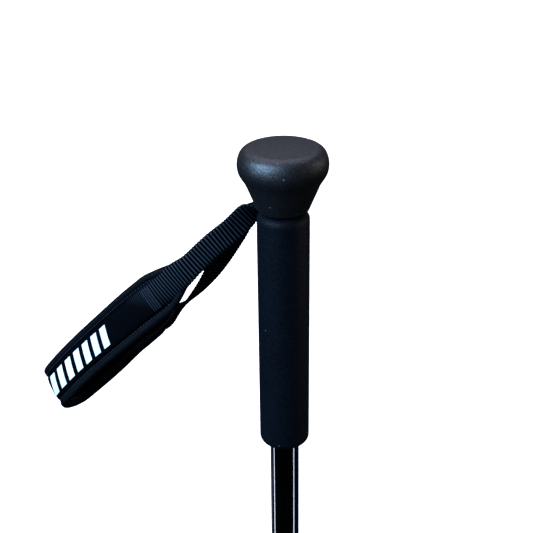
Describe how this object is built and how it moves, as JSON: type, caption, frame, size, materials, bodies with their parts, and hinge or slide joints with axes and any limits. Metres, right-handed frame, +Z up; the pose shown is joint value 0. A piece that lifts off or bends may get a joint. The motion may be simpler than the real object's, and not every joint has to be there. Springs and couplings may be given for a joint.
{
  "type": "quad walking cane",
  "caption": "Height-adjustable walking cane on a four-legged base, with a straight foam grip, a mushroom knob and a padded wrist strap.",
  "frame": {"origin": "on the floor, on the axis of the shaft", "axes": "+Z up the shaft; +X towards the two outer feet, away from the wrist strap; the height holes face -Y"},
  "size_m": [0.3119, 0.152, 0.8512],
  "materials": {
    "grip_foam": "matte closed-cell foam",
    "knob_foam": "matte soft-touch foam",
    "tube_black": "glossy black",
    "base_black": "satin black powder coat",
    "hub_black": "textured black powder coat",
    "tip_rubber": "matte",
    "nylon_black": "moulded nylon",
    "core_plastic": "moulded",
    "bare_steel": "zinc plated",
    "chrome_button": "polished",
    "insert_alloy": "machined",
    "webbing": "ribbed nylon webbing",
    "pad_fabric": "padded, bound edges"
  },
  "bodies": {
    "base": {"base_hub": "hub_black", "foot_washers": "bare_steel", "leg_grub_screws": "bare_steel", "hub_bolt": "bare_steel", "hub_washers": "bare_steel", "hub_nut": "bare_steel", "lower_tube": "tube_black", "lock_ferrule": "nylon_black", "leg_inner_front": "base_black", "leg_inner_rear": "base_black", "leg_outer_front": "base_black", "leg_outer_rear": "base_black", "foot_inner_front": "tip_rubber", "foot_inner_rear": "tip_rubber", "foot_outer_front": "tip_rubber", "foot_outer_rear": "tip_rubber"},
    "shaft": {"upper_tube": "tube_black", "tube_glide": "nylon_black", "grip_foam": "grip_foam", "spring_fixed_leaf": "bare_steel", "knob_cover": "knob_foam", "knob_core": "core_plastic", "threaded_insert": "insert_alloy", "knob_screw": "bare_steel", "strap_spacer": "bare_steel"},
    "button": {"snap_button": "chrome_button", "spring_moving_leaf": "bare_steel"},
    "lock_lift": {"lock_ring": "nylon_black"},
    "lock_turn": {"lock_collar": "nylon_black"},
    "strap_root": {"strap_tab": "webbing", "strap_eyelet": "bare_steel"},
    "strap_loop": {"strap_front_webbing": "webbing", "strap_back_webbing": "webbing", "strap_pad": "pad_fabric"}
  },
  "joints": [
    {"name": "height_adjust", "type": "slide", "parent": "base", "child": "shaft", "axis": [0, 0, 1], "range_m": [-0.1143, 0.1143]},
    {"name": "button_press", "type": "hinge", "parent": "shaft", "child": "button", "pos_m": [0, 0, 0.306], "axis": [1, 0, 0], "range_deg": [-5.8, 0], "stiffness_Nm_per_rad": 2.2, "springref_deg": 2.29},
    {"name": "collar_turn", "type": "hinge", "parent": "lock_lift", "child": "lock_turn", "pos_m": [0, 0, 0.51], "axis": [0, 0, 1], "range_deg": [0, 120.5]},
    {"name": "collar_rise", "type": "slide", "parent": "base", "child": "lock_lift", "axis": [0, 0, 1], "range_m": [0, 0.001]},
    {"name": "strap_swivel", "type": "hinge", "parent": "shaft", "child": "strap_root", "pos_m": [0, 0, 0.811], "axis": [0, 0, 1], "continuous": true},
    {"name": "strap_lift", "type": "hinge", "parent": "strap_root", "child": "strap_loop", "pos_m": [-0.01483, 0.01038, 0.811], "axis": [0.5736, 0.8192, 0], "range_deg": [0, 60]}
  ],
  "couplings": [
    {"joint": "collar_turn", "follows": "collar_rise", "rad_per_m": 2094.4}
  ]
}
